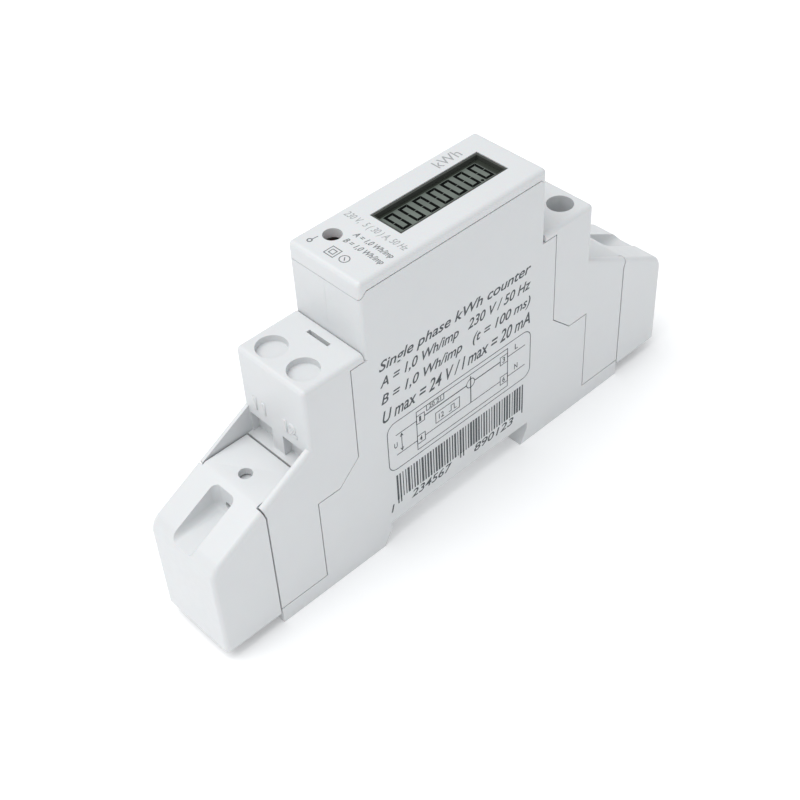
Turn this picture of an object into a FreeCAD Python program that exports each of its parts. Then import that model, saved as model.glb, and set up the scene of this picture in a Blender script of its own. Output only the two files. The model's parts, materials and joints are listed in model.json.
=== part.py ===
import FreeCAD, Part
import os

# One-module electricity meter for a 35 mm mounting rail, as an assembly of separate solids.
#
# Frame: +X runs along the meter to its pulse-output end, +Y across its width, +Z from the rail to
# the front. The origin is on the base plane, midway along the length and across the width.
# The printed side faces -Y. Sizes are in millimetres.

os.makedirs("parts", exist_ok=True)

Vector = FreeCAD.Vector

# ---------------------------------------------------------------- overall sizes
overall_width = 17.6
overall_height = 64.4
front_length = 44.6          # raised front block, which passes through a panel cut-out
shoulder_reach = 13.5        # each raised terminal shoulder, past the front block
block_reach = 10.5           # each lower terminal chamber, past its shoulder
cover_reach = 12.7           # each seal cover, past its terminal block

# ---------------------------------------------------------------- walls, gaps, fits
wall = 1.2
seam_gap = 0.2               # shut line between pieces that are fixed together
cover_gap = 0.3              # round a seal cover, which slides off
inner_gap = 0.3              # between loose inner pieces and walls
thread_play = 0.05           # radial, screw shank in its nut plate
peg_play = 0.05              # radial, locating pegs of the case halves
slide_play = 0.15            # rail clip in its channel
solder_gap = 0.05            # between pieces that touch when soldered, clipped or laid in
over = 1.0                   # how far a cutting shape runs past what it cuts

# ---------------------------------------------------------------- case outline
waist_step = 3.1             # case between the terminal blocks, past the front block
waist_rise = 4.6             # from the hip up to the waist
hip_inset = 0.5              # case below the blocks' upper chambers, inside their shoulders
hip_headroom = 5.3           # top of the hip above the bars
hip_slope_run = 5.0
shoulder_roof = 1.4          # terminal block's top over the case's waist
foot_height = 3.8            # thin strip under the terminal blocks
bezel_side_drop = 1.9        # skirt of the bezel along the long sides
bezel_end_drop = 3.4         # skirt of the bezel round the ends
peg_radius = 0.9
boss_radius = 1.6
peg_length = 2.0
lower_peg_inset = 3.0        # from the hip's inner wall
lower_peg_rise = 3.0         # above the case floor
upper_peg_drop = 6.1         # below the waist's top
rib_height = 6.0             # ribs that hold the board's corners
rib_inset = 0.5              # from the board's upper and lower edges
rib_hold = 1.0               # over the board's ends
bar_rest_width = 1.2
bar_rest_offset = 4.0        # from the shunt's ends

# ---------------------------------------------------------------- rail notch, clip, spring
rail_width = 35.0
rail_lip = 1.0
notch_height = 5.1
hook_reach = 18.5            # fixed hook's face, from the middle of the meter
hook_undercut = 1.9
hook_lip_height = 3.3
notch_left = 19.0
notch_flare = 2.0
clip_width = 8.0
clip_thickness = 1.8
clip_bottom = 0.7
clip_travel = 3.2
clip_grip = 1.6              # how far the nose reaches under the rail's edge
clip_nose_length = 3.8
clip_nose_slope = 2.0
clip_tail = 5.5              # pull tab past the foot strip
tail_slot_length = 4.6
tail_slot_width = 1.3
tail_slot_inset = 2.2
spring_wire = 0.3
spring_diameter = 1.7
spring_length = 6.0
spring_turns = 7
spring_start = 30.4          # moving end of the spring, from the middle of the meter
spring_stop = 1.0

# ---------------------------------------------------------------- terminal blocks
partition = 1.2
flank_rise = 5.8             # top of the side flanks at the shoulder, above the cover's tongue
window_height = 4.7
window_recess = 1.6
mullion = 2.9
sill_reach = 1.0
sill_drop = 0.2              # window sill below the top of the cover's tongue
tongue_thickness = 1.5
tongue_slot = 0.5            # gap between a block's sill and the cover's tongue
flank_lip = 0.6              # flank's pointed end, past the block's end face
flank_lip_height = 2.2
blind_well_diameter = 5.8
blind_well_depth = 1.3
latch_slot_inset = 2.4       # from the front block's end face
latch_slot_length = 5.4
latch_slot_width = 0.8
latch_slot_depth = 2.2
mouth_diameter = 5.8         # wire entries in the blocks' ends
end_wall = 1.2

# ---------------------------------------------------------------- seal covers
cover_wall = 1.3
cover_bottom = 2.8
cover_fall = 12.5            # the slope's fall from the shoulder to the cover's end
cover_roof_share = 1.2       # roof under the slope, against the side walls
tongue_root = 0.5            # tongue runs this far into the slope
pocket_width = 5.8
pocket_rise = 0.5            # floor of the seal pocket at its inner end, above the cover's end edge
pocket_fall = 1.2            # how much lower the floor is at the cover's end
pocket_corner = 1.3
pocket_wall = 1.4
seal_hole_diameter = 1.6
seal_hole_rise = 1.4         # above the pocket's floor
passage_play = 0.1           # radial, the seal wire's way on through the block
sight_hole_diameter = 2.6
sight_hole_inset = 2.8       # from the block's end face
post_diameter = 3.2
post_height = 3.5

# ---------------------------------------------------------------- main clamps
main_thread = 4.0
main_travel = 4.6            # rise of the cage from fully open to fully shut
main_head_height = 2.2
main_head_play = 0.7
head_drop = 1.6              # head below the cover's tongue
bar_bottom = 16.4
bar_thickness = 1.5
bar_width = 3.6
shunt_length = 12.0
sense_pin = 0.8
cage_side = 1.0
cage_nut = 2.0
cage_floor = 1.2
nut_gap = 0.5                # between the bar and the nut plate, clamp fully open

# ---------------------------------------------------------------- pulse-output clamps
pulse_thread = 3.0
pulse_travel = 3.1
pulse_head_diameter = 4.6
pulse_head_height = 2.0
pulse_well_depth = 5.3       # from the shoulder's top down to the screw head
pulse_well_play = 0.3
pulse_bar_rise = 0.6         # lead above the wire window
pulse_bar_thickness = 0.8
pulse_bar_width = 2.0
lead_foot = 1.0              # bent foot of each lead, soldered to the main board
pulse_cage_length = 5.4
pulse_cage_width = 5.2
pulse_cage_side = 0.8
pulse_cage_nut = 1.6
pulse_cage_floor = 0.9

# ---------------------------------------------------------------- screw heads
slot_share = 0.2             # slot width, as a share of the head's diameter
slot_depth = 1.1

# ---------------------------------------------------------------- front and display
window_width = 7.7
window_end_margin = 4.6      # from the window to the right end of the front block
window_lamp_margin = 14.1    # from the window to the left end of the front block
glass_drop = 1.1             # front face of the glass below the front
frame_lip = 0.45
frame_lip_drop = 0.15
frame_wall = 0.8
glass_border = 2.0
glass_thickness = 2.2
reflector_thickness = 0.5
strip_width = 1.4
strip_height = 2.4
strip_inset = 1.0            # from the ends of the glass
board_thickness = 1.6
display_board_thickness = 1.0
lamp_inset = 6.2             # from the left end of the front block
lamp_side = 4.4
lamp_hole_diameter = 3.45
lamp_diameter = 3.0
lamp_drop = 1.5
lamp_flange = 0.4
lamp_flange_height = 1.0
board_bar_gap = 2.5          # main board above the bars
board_gap = 1.5              # main board below the display board
pin_size = 0.6
pin_pitch = 2.54
pin_count = 8

# ---------------------------------------------------------------- parts on the main board
capacitor_length = 11.0
film_length = 13.0
film_height = 9.5
film_depth = 4.8
varistor_diameter = 6.5
varistor_thickness = 3.2
metering_length = 10.0
metering_width = 4.0
metering_thickness = 1.7
processor_size = 9.0
processor_thickness = 1.4
crystal_length = 9.0
crystal_width = 3.6
crystal_height = 3.2
coupler_length = 4.6
coupler_width = 6.4
coupler_thickness = 3.3
chip_length = 2.0
chip_width = 1.25
chip_height = 0.6
lead_share = 0.4             # width of a chip's lead, as a share of the pitch
lead_reach = 0.9
lead_thickness = 0.4
chip_lift = 0.1              # moulded body above the board
part_margin = 2.0            # from the board's edges to the nearest part
part_gap = 1.5
low_part_rise = 1.0          # lowest parts above the margin
crystal_rise = 3.0
chip_drop = 8.5
resistor_rows = 2
resistor_columns = 5
resistor_pitch = 6.4
resistor_row_pitch = 3.0
resistor_drop = 4.0

# ---------------------------------------------------------------- rounding
edge_round = 0.9
corner_round = 0.8
cover_end_round = 4.0

# ---------------------------------------------------------------- derived places, along the length
half_width = overall_width / 2
front_half = front_length / 2
waist_half = front_half + waist_step
shoulder_half = front_half + shoulder_reach
hip_half = shoulder_half - hip_inset
knee_half = hip_half - hip_slope_run
block_half = shoulder_half + block_reach
cover_end = block_half + cover_reach
tongue_end = shoulder_half + sill_reach + tongue_slot
chamber_start = shoulder_half + sill_reach
chamber_end = block_half - end_wall
main_axis = (chamber_start + chamber_end) / 2
cage_length = chamber_end - chamber_start - 2 * inner_gap
pulse_chamber_end = shoulder_half - wall
pulse_chamber_start = pulse_chamber_end - pulse_cage_length - 2 * inner_gap
pulse_axis = (pulse_chamber_start + pulse_chamber_end) / 2
post_axis = block_half - sight_hole_inset
window_end = front_half - window_end_margin
window_start = -front_half + window_lamp_margin
lamp_x = -front_half + lamp_inset
board_end = front_half - wall - inner_gap

# ---------------------------------------------------------------- derived places, across the width
chamber_outer = half_width - wall
chamber_inner = partition / 2
chamber_middle = (chamber_inner + chamber_outer) / 2
cage_width = chamber_outer - chamber_inner - 2 * inner_gap
main_head_radius = (chamber_outer - chamber_inner) / 2 - main_head_play
pulse_well_radius = pulse_head_diameter / 2 + pulse_well_play
window_half = window_width / 2
board_face = board_thickness / 2
board_side = half_width - wall - inner_gap
part_depth = board_side - board_face

# ---------------------------------------------------------------- derived heights, from the rail up
case_floor = notch_height + wall
clip_top = clip_bottom + clip_thickness
bar_top = bar_bottom + bar_thickness
hip_height = bar_top + hip_headroom
waist_bottom = hip_height + waist_rise
main_floor_top = bar_bottom - main_travel - nut_gap
main_nut_bottom = bar_top + nut_gap
main_head_under = main_nut_bottom + cage_nut + main_travel + nut_gap
main_head_top = main_head_under + main_head_height
tongue_under = main_head_top + head_drop
tongue_top = tongue_under + tongue_thickness
chamber_top = tongue_under - cover_gap
sill_height = tongue_top - sill_drop
flank_height = tongue_top + flank_rise
flank_slope = cover_fall / (block_reach + cover_reach)
cover_end_height = flank_height - cover_fall
pocket_floor = cover_end_height + pocket_rise
seal_hole_height = pocket_floor + seal_hole_rise
pulse_bar_bottom = sill_height + window_height + pulse_bar_rise
pulse_bar_top = pulse_bar_bottom + pulse_bar_thickness
pulse_floor_top = pulse_bar_bottom - pulse_travel - nut_gap
pulse_nut_bottom = pulse_bar_top + nut_gap
pulse_head_under = pulse_nut_bottom + pulse_cage_nut + pulse_travel + nut_gap
pulse_head_top = pulse_head_under + pulse_head_height
shoulder_height = pulse_head_top + pulse_well_depth
waist_top = shoulder_height - shoulder_roof - seam_gap

# ---------------------------------------------------------------- derived heights, from the front down
bezel_bottom = overall_height - bezel_side_drop
bezel_skirt = overall_height - bezel_end_drop
glass_top = overall_height - glass_drop
glass_bottom = glass_top - glass_thickness
display_board_top = glass_bottom - strip_height
display_board_bottom = display_board_top - display_board_thickness
board_top = display_board_bottom - board_gap
board_bottom = bar_top + board_bar_gap


def flank_top(x):
    """Height of the sloping top of the flanks and covers, at x from the middle of the meter."""
    return flank_height - flank_slope * (x - shoulder_half)


# ---------------------------------------------------------------- shape helpers
def box(x0, x1, y0, y1, z0, z1):
    return Part.makeBox(x1 - x0, y1 - y0, z1 - z0, Vector(x0, y0, z0))


def prism(points, y0, y1):
    """A closed outline of (x, z) points, drawn across the width from y0 to y1."""
    wire = Part.makePolygon([Vector(x, y0, z) for x, z in points + points[:1]])
    return Part.Face(wire).extrude(Vector(0, y1 - y0, 0))


def cylinder_z(radius, x, y, z0, z1):
    return Part.makeCylinder(radius, z1 - z0, Vector(x, y, z0))


def cylinder_x(radius, y, z, x0, x1):
    return Part.makeCylinder(radius, x1 - x0, Vector(x0, y, z), Vector(1, 0, 0))


def cylinder_y(radius, x, z, y0, y1):
    return Part.makeCylinder(radius, y1 - y0, Vector(x, y0, z), Vector(0, 1, 0))


def half_turn(shape):
    """The same shape at the other end of the meter."""
    turned = shape.copy()
    turned.rotate(Vector(0, 0, 0), Vector(0, 0, 1), 180)
    return turned


def near(a, b):
    return abs(a - b) < 1e-4


def rounded(shape, radius, wanted):
    """Round the edges whose bounding box passes the test."""
    edges = [edge for edge in shape.Edges if wanted(edge.BoundBox)]
    return shape.makeFillet(radius, edges)


def on_sides(bounds):
    """True for an edge that lies in one of the two side faces."""
    flat = near(bounds.YMin, bounds.YMax)
    return flat and near(abs(bounds.YMin), half_width)


def save(name, *solids):
    """Write one node, a single solid or a group of separate solids."""
    shape = solids[0] if len(solids) == 1 else Part.makeCompound(list(solids))
    if not shape.Solids:
        raise ValueError(name + " holds no solid")
    for solid in shape.Solids:
        if not solid.isValid() or solid.Volume <= 0:
            raise ValueError(name + " is not a sound solid")
    shape.exportStep("parts/" + name + ".step")


# ---------------------------------------------------------------- case halves
def case_body():
    """The whole case, hollow but not yet split down the middle."""
    end_of_foot = [
        (block_half, 0),
        (block_half, foot_height),
        (hip_half, foot_height),
        (hip_half, hip_height),
        (knee_half, hip_height),
        (waist_half, waist_bottom),
        (waist_half, waist_top),
        (front_half, waist_top),
        (front_half, bezel_skirt - seam_gap),
        (front_half - bezel_end_drop + bezel_side_drop, bezel_bottom - seam_gap),
    ]
    left = [(-x, z) for x, z in reversed(end_of_foot)]
    notch = [
        (-notch_left - notch_flare, 0),
        (-notch_left, hook_lip_height),
        (-notch_left, notch_height),
        (hook_reach, notch_height),
        (hook_reach, hook_lip_height),
        (hook_reach - hook_undercut, 0),
    ]
    body = prism(end_of_foot + left + notch, -half_width, half_width)
    body = rounded(body, corner_round, is_front_corner)

    slope_shift = wall / 2
    inner = [
        (hip_half - wall, case_floor),
        (hip_half - wall, hip_height - wall),
        (knee_half - slope_shift, hip_height - wall),
        (waist_half - wall, waist_bottom - slope_shift),
        (waist_half - wall, waist_top - wall),
        (front_half - wall, waist_top - wall),
        (front_half - wall, overall_height),
    ]
    inner_left = [(-x, z) for x, z in reversed(inner)]
    cavity = prism(inner + inner_left, wall - half_width, half_width - wall)
    return body.cut(cavity)


def is_front_corner(bounds):
    upright = bounds.ZMax - bounds.ZMin > bezel_end_drop
    at_end = near(bounds.XMin, bounds.XMax) and near(abs(bounds.XMin), front_half)
    return upright and at_end


def clip_channel():
    """Space for the sliding rail clip, with room for its raised nose."""
    side = clip_width / 2 + slide_play
    bottom = clip_bottom - slide_play
    top = clip_top + slide_play
    channel = box(-block_half - over, -notch_left + notch_flare, -side, side, bottom, top)
    nose_top = notch_height - rail_lip + slide_play
    nose_back = notch_left + clip_travel + inner_gap
    return channel.fuse(box(-nose_back, -notch_left + over, -side, side, bottom, nose_top))


def spring_post():
    """Fixed stop for the spring, standing in the clip's channel."""
    start = -spring_start - spring_length - spring_stop - solder_gap
    side = spring_diameter / 2
    return box(start, start + spring_stop, -side, side, 0, foot_height)


def board_ribs():
    """Ribs that hold the board's four corners and carry the bars."""
    ribs = []
    for side in (-1, 1):
        lean = sorted((side * (board_face + solder_gap), side * (half_width - wall / 2)))
        for end in (-1, 1):
            span = sorted((end * (board_end - rib_hold), end * (front_half - wall / 2)))
            for low in (board_bottom + rib_inset, board_top - rib_inset - rib_height):
                ribs.append(box(span[0], span[1], lean[0], lean[1], low, low + rib_height))
            rest = end * (shunt_length / 2 + bar_rest_offset)
            half = bar_rest_width / 2
            ribs.append(box(rest - half, rest + half, lean[0], lean[1], case_floor - over, bar_bottom))
    return ribs


def lead_slots():
    """Slots in the case walls for the bars and the pulse-output leads."""
    cuts = []
    for side in (-1, 1):
        middle = side * chamber_middle
        reach = bar_width / 2 + inner_gap
        low, high = bar_bottom - solder_gap, bar_top + inner_gap
        cuts.append(box(-hip_half - over, hip_half + over, middle - reach, middle + reach, low, high))
        reach = pulse_bar_width / 2 + inner_gap
        low, high = pulse_bar_bottom - inner_gap, pulse_bar_top + inner_gap
        cuts.append(box(waist_half - wall - over, waist_half + over, middle - reach, middle + reach,
                        low, high))
    return cuts


def peg_places():
    lower = (hip_half - wall - lower_peg_inset, case_floor + lower_peg_rise)
    upper = (board_end + inner_gap / 2 + boss_radius, waist_top - upper_peg_drop)
    return [(side * x, z) for x, z in (lower, upper) for side in (-1, 1)]


def make_case():
    body = case_body().fuse(board_ribs())
    for x, z in peg_places():
        body = body.fuse(cylinder_y(boss_radius, x, z, wall / 2 - half_width, half_width - wall / 2))
    body = body.cut(clip_channel()).cut(lead_slots())
    body = body.fuse(spring_post())
    reach = block_half + over
    near_half = body.common(box(-reach, reach, -half_width, 0, 0, overall_height))
    far_half = body.common(box(-reach, reach, 0, half_width, 0, overall_height))
    for x, z in peg_places():
        near_half = near_half.fuse(cylinder_y(peg_radius, x, z, -over, peg_length))
        hole_radius = peg_radius + peg_play
        far_half = far_half.cut(cylinder_y(hole_radius, x, z, -over, peg_length + peg_play))
    save("near_case_half", near_half.removeSplitter())
    save("far_case_half", far_half.removeSplitter())


# ---------------------------------------------------------------- terminal blocks
def block_body():
    """Right-hand terminal block before its chambers are cut."""
    lip_end = block_half + flank_lip
    outline = [
        (front_half + seam_gap, shoulder_height),
        (shoulder_half, shoulder_height),
        (shoulder_half, flank_height),
        (lip_end, flank_top(lip_end)),
        (block_half, flank_top(lip_end) - flank_lip_height),
        (block_half, foot_height + seam_gap),
        (hip_half + seam_gap, foot_height + seam_gap),
        (hip_half + seam_gap, hip_height + seam_gap),
        (knee_half, hip_height + seam_gap),
        (waist_half + seam_gap, waist_bottom),
        (waist_half + seam_gap, waist_top + seam_gap),
        (front_half + seam_gap, waist_top + seam_gap),
    ]
    return rounded(prism(outline, -half_width, half_width), edge_round, is_block_edge)


def is_block_edge(bounds):
    """Outer edges of the shoulder and of the sloping flanks."""
    above = bounds.ZMin > flank_top(block_half + flank_lip) - solder_gap
    outside = bounds.XMax > shoulder_half - solder_gap
    ridge = near(bounds.ZMin, shoulder_height) and near(bounds.ZMax, shoulder_height)
    brow = ridge and near(bounds.XMin, shoulder_half) and near(bounds.XMax, shoulder_half)
    return brow or (on_sides(bounds) and above and outside)


def windows(start):
    """Two openings at the foot of the shoulder's end face, from x = start outwards."""
    low, high = sill_height, sill_height + window_height
    cuts = []
    for side in (-1, 1):
        lean = sorted((side * mullion / 2, side * board_side))
        cuts.append(box(start, shoulder_half + over, lean[0], lean[1], low, high))
    return cuts


def main_chambers():
    """Chambers for the two main clamps, open towards the cover's tongue."""
    above = flank_height + over
    past = block_half + flank_lip + over
    floor = main_floor_top - cage_floor - inner_gap
    cuts = [
        box(shoulder_half, past, -chamber_outer, chamber_outer, sill_height, above),
        box(chamber_start, past, -chamber_outer, chamber_outer, chamber_top, above),
    ]
    for side in (-1, 1):
        lean = sorted((side * chamber_inner, side * chamber_outer))
        middle = side * chamber_middle
        reach = bar_width / 2 + inner_gap
        mouth_height = bar_bottom - mouth_diameter / 2
        cuts.append(box(chamber_start, chamber_end, lean[0], lean[1], floor, above))
        cuts.append(box(hip_half, main_axis, middle - reach, middle + reach,
                        bar_bottom - inner_gap, bar_top + inner_gap))
        cuts.append(cylinder_x(mouth_diameter / 2, middle, mouth_height, chamber_end - over, past))
    return cuts


def seal_post():
    """Post under the sight hole, which the seal wire passes through."""
    return cylinder_z(post_diameter / 2, post_axis, 0, chamber_top - post_height, chamber_top)


def seal_passage():
    start = post_axis - post_diameter / 2 - over
    radius = seal_hole_diameter / 2 + passage_play
    return cylinder_x(radius, 0, seal_hole_height, start, block_half + over)


def pulse_chambers():
    """Chambers, screw wells and wire windows of the two pulse-output clamps."""
    floor = pulse_floor_top - pulse_cage_floor - inner_gap
    top = pulse_head_top + inner_gap
    cuts = windows(pulse_chamber_end - over)
    for side in (-1, 1):
        middle = side * chamber_middle
        reach = pulse_cage_width / 2 + inner_gap
        lead = pulse_bar_width / 2 + inner_gap
        cuts.append(box(pulse_chamber_start, pulse_chamber_end, middle - reach, middle + reach,
                        floor, top))
        cuts.append(cylinder_z(pulse_well_radius, pulse_axis, middle, top - over,
                               shoulder_height + over))
        cuts.append(box(waist_half, pulse_axis, middle - lead, middle + lead,
                        pulse_bar_bottom - inner_gap, pulse_bar_top + inner_gap))
    return cuts


def blank_positions():
    """Blanked wells and windows, and the hollow behind them, where no clamps are fitted."""
    cuts = windows(shoulder_half - window_recess)
    for side in (-1, 1):
        middle = side * chamber_middle
        low = shoulder_height - blind_well_depth
        cuts.append(cylinder_z(blind_well_diameter / 2, pulse_axis, middle, low,
                               shoulder_height + over))
    back = shoulder_half - window_recess - wall
    roof = shoulder_height - blind_well_depth - wall
    cuts.append(box(waist_half, back, -chamber_outer, chamber_outer, waist_bottom + wall, roof))
    return cuts


def latch_slot():
    x = front_half + latch_slot_inset
    low = shoulder_height - latch_slot_depth
    straight = latch_slot_length / 2
    return box(x - latch_slot_width / 2, x + latch_slot_width / 2, -straight, straight,
               low, shoulder_height + over)


def make_blocks():
    base = block_body().cut(main_chambers()).fuse(seal_post()).cut(seal_passage())
    base = base.cut(latch_slot())
    save("pulse_terminal_block", base.cut(pulse_chambers()).removeSplitter())
    save("blank_terminal_block", half_turn(base.cut(blank_positions()).removeSplitter()))


# ---------------------------------------------------------------- seal covers
def is_cover_edge(bounds):
    """Outer edges of a cover, apart from those at its open side and bottom."""
    slope_start = block_half + flank_lip + cover_gap
    low = near(bounds.ZMin, cover_bottom) and near(bounds.ZMax, cover_bottom)
    return on_sides(bounds) and bounds.XMax > slope_start + over and not low


def is_cover_brow(bounds):
    at_end = near(bounds.XMin, cover_end) and near(bounds.XMax, cover_end)
    return at_end and near(bounds.ZMin, cover_end_height) and near(bounds.ZMax, cover_end_height)


def seal_pocket():
    """Scoop in the cover's slope, with rounded corners, that runs out over its end."""
    start = block_half + cover_gap + pocket_wall
    past = cover_end + over
    fall = pocket_fall / (cover_end - start)
    above = flank_height + over
    floor_end = pocket_floor - fall * (past - start)
    outline = [(start, above), (start, pocket_floor), (past, floor_end), (past, above)]
    half = pocket_width / 2
    tool = prism(outline, -half, half)
    return rounded(tool, pocket_corner, lambda b: b.ZMin < pocket_floor + solder_gap
                   and b.XMin < start + solder_gap)


def cover_body():
    """Right-hand seal cover."""
    start = block_half + cover_gap
    lip_end = block_half + flank_lip
    meet = shoulder_half + (flank_height - tongue_top) / flank_slope
    shell = [
        (start, cover_bottom),
        (cover_end, cover_bottom),
        (cover_end, cover_end_height),
        (lip_end + cover_gap, flank_top(lip_end + cover_gap)),
        (start, flank_top(lip_end) - flank_lip_height),
    ]
    body = prism(shell, -half_width, half_width)
    body = rounded(body, cover_end_round, is_cover_brow)
    body = rounded(body, edge_round, is_cover_edge)

    root_end = lip_end + cover_gap + tongue_root
    tongue = [
        (tongue_end, tongue_under),
        (tongue_end, tongue_top),
        (meet, tongue_top),
        (root_end, flank_top(root_end)),
        (root_end, tongue_under),
    ]
    half_tongue = chamber_outer - cover_gap
    body = body.fuse(prism(tongue, -half_tongue, half_tongue))

    inside = cover_end - cover_wall
    side = half_width - cover_wall
    roof = pocket_floor - pocket_fall - cover_wall
    cuts = [box(block_half - over, inside, -side, side, cover_bottom - over, roof)]
    loft = [
        (block_half - over, roof - over),
        (inside, roof - over),
        (inside, flank_top(inside) - cover_wall * cover_roof_share),
        (block_half - over, tongue_under),
    ]
    for end in (-1, 1):
        lean = sorted((end * (pocket_width / 2 + cover_wall), end * side))
        cuts.append(prism(loft, lean[0], lean[1]))
    cuts.append(seal_pocket())
    hole_end = block_half + cover_gap + pocket_wall + pocket_corner
    cuts.append(cylinder_x(seal_hole_diameter / 2, 0, seal_hole_height, block_half, hole_end))
    cuts.append(cylinder_z(sight_hole_diameter / 2, post_axis, 0, tongue_under - over,
                           tongue_top + over))
    return body.cut(cuts).removeSplitter()


def make_covers():
    cover = cover_body()
    save("pulse_end_seal_cover", cover)
    save("blank_end_seal_cover", half_turn(cover))


# ---------------------------------------------------------------- rail clip and spring
def make_clip():
    half = clip_width / 2
    tip = hook_reach - rail_width + clip_grip
    nose_back = tip - clip_nose_length
    nose_top = notch_height - rail_lip - solder_gap
    outline = [
        (-block_half - clip_tail, clip_bottom),
        (tip - clip_nose_slope, clip_bottom),
        (tip, clip_bottom + clip_nose_slope),
        (tip, nose_top),
        (nose_back, nose_top),
        (nose_back, clip_top),
        (-block_half - clip_tail, clip_top),
    ]
    clip = prism(outline, -half, half)
    window_side = spring_diameter / 2 + inner_gap
    window_left = -spring_start - spring_length - spring_stop - inner_gap
    clip = clip.cut(box(window_left, -spring_start + solder_gap, -window_side, window_side,
                        clip_bottom - over, clip_top + over))
    slot_end = -block_half - clip_tail + tail_slot_inset
    slot_side = tail_slot_length / 2
    clip = clip.cut(box(slot_end, slot_end + tail_slot_width, -slot_side, slot_side,
                        clip_bottom - over, clip_top + over))
    save("rail_clip", clip.removeSplitter())


def make_spring():
    """Compression spring, wound along X between the fixed post and the clip."""
    radius = (spring_diameter - spring_wire) / 2
    length = spring_length - spring_wire - 2 * solder_gap
    helix = Part.makeHelix(length / spring_turns, length, radius)
    profile = Part.Wire(Part.makeCircle(spring_wire / 2, Vector(radius, 0, 0), Vector(0, 1, 0)))
    coil = helix.makePipeShell([profile], True, True)
    coil.rotate(Vector(0, 0, 0), Vector(0, 1, 0), 90)
    start = -spring_start - spring_length + spring_wire / 2 + solder_gap
    coil.translate(Vector(start, 0, clip_bottom + clip_thickness / 2))
    save("rail_clip_spring", coil)


# ---------------------------------------------------------------- clamps
def clamp_screw(thread_radius, head_radius, x, y, tip, under, top):
    """Cheese-head screw, upright, with a driving slot."""
    screw = cylinder_z(thread_radius, x, y, tip, under).fuse(cylinder_z(head_radius, x, y, under, top))
    half_slot = head_radius * slot_share
    slot = box(x - head_radius - over, x + head_radius + over, y - half_slot, y + half_slot,
               top - slot_depth, top + over)
    return screw.cut(slot)


def clamp_cage(length, width, side, x, y, floor_top, floor, nut_bottom, nut, thread_radius):
    """Rising cage: a square ring that lifts the wire against the bar."""
    x0, x1 = x - length / 2, x + length / 2
    y0, y1 = y - width / 2, y + width / 2
    cage = box(x0, x1, y0, y1, floor_top - floor, nut_bottom + nut)
    cage = cage.cut(box(x0 - over, x1 + over, y0 + side, y1 - side, floor_top, nut_bottom))
    hole = cylinder_z(thread_radius + thread_play, x, y, nut_bottom - over, nut_bottom + nut + over)
    return cage.cut(hole)


def make_main_clamps():
    places = {
        "line_in": (-main_axis, -chamber_middle),
        "line_out": (main_axis, -chamber_middle),
        "neutral_in": (-main_axis, chamber_middle),
        "neutral_out": (main_axis, chamber_middle),
    }
    for name, (x, y) in places.items():
        radius = main_thread / 2
        save(name + "_cage", clamp_cage(cage_length, cage_width, cage_side, x, y, main_floor_top,
                                        cage_floor, main_nut_bottom, cage_nut, radius))
        save(name + "_screw", clamp_screw(radius, main_head_radius, x, y, bar_top + solder_gap,
                                          main_head_under, main_head_top))


def make_pulse_clamps():
    for name, side in (("pulse_plus", -1), ("pulse_minus", 1)):
        y = side * chamber_middle
        radius = pulse_thread / 2
        save(name + "_cage", clamp_cage(pulse_cage_length, pulse_cage_width, pulse_cage_side,
                                        pulse_axis, y, pulse_floor_top, pulse_cage_floor,
                                        pulse_nut_bottom, pulse_cage_nut, radius))
        save(name + "_screw", clamp_screw(radius, pulse_head_diameter / 2, pulse_axis, y,
                                          pulse_bar_top + solder_gap, pulse_head_under,
                                          pulse_head_top))
        reach = pulse_bar_width / 2
        lead = box(board_end - part_margin, pulse_axis + pulse_cage_length / 2, y - reach, y + reach,
                   pulse_bar_bottom, pulse_bar_top)
        lean = sorted((side * (board_face + solder_gap), y))
        foot = box(board_end - part_margin, board_end - part_margin + lead_foot, lean[0], lean[1],
                   pulse_bar_bottom, pulse_bar_top)
        save(name + "_lead", lead.fuse(foot).removeSplitter())


def make_bars():
    """Current bars low in the case: line on the printed side, neutral on the other."""
    end = main_axis + cage_length / 2
    half = bar_width / 2
    y = -chamber_middle
    shunt_half = shunt_length / 2
    save("line_in_bar", box(-end, -shunt_half, y - half, y + half, bar_bottom, bar_top))
    save("line_out_bar", box(shunt_half, end, y - half, y + half, bar_bottom, bar_top))
    inner = -board_face - solder_gap
    shunt = box(-shunt_half, shunt_half, y - half, inner, bar_bottom, bar_top)
    for side in (-1, 1):
        x = side * (shunt_half - sense_pin)
        pin = box(x - sense_pin / 2, x + sense_pin / 2, inner - sense_pin, inner,
                  bar_bottom, board_bottom + part_margin)
        shunt = shunt.fuse(pin)
    save("current_shunt", shunt.removeSplitter())
    save("neutral_bar", box(-end, end, chamber_middle - half, chamber_middle + half,
                            bar_bottom, bar_top))


# ---------------------------------------------------------------- front and display
def make_bezel():
    drop = bezel_end_drop - bezel_side_drop
    outline = [
        (-front_half, bezel_skirt),
        (-front_half, overall_height),
        (front_half, overall_height),
        (front_half, bezel_skirt),
        (front_half - drop, bezel_bottom),
        (-front_half + drop, bezel_bottom),
    ]
    bezel = prism(outline, -half_width, half_width)
    bezel = rounded(bezel, corner_round, lambda b: near(b.XMin, b.XMax)
                    and near(abs(b.XMin), front_half) and b.ZMax - b.ZMin > edge_round)
    bezel = rounded(bezel, edge_round, lambda b: near(b.ZMin, overall_height))
    opening = box(window_start, window_end, -window_half, window_half, bezel_bottom - over,
                  overall_height + over)
    reach = glass_border + frame_wall + inner_gap
    pocket_half = window_half + reach
    pocket = box(window_start - reach, window_end + reach, -pocket_half, pocket_half,
                 bezel_skirt - over, glass_top + solder_gap)
    lamp_hole = cylinder_z(lamp_hole_diameter / 2, lamp_x, lamp_side, bezel_skirt,
                           overall_height + over)
    save("front_bezel", bezel.cut(opening).cut(pocket).cut(lamp_hole).removeSplitter())


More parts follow.
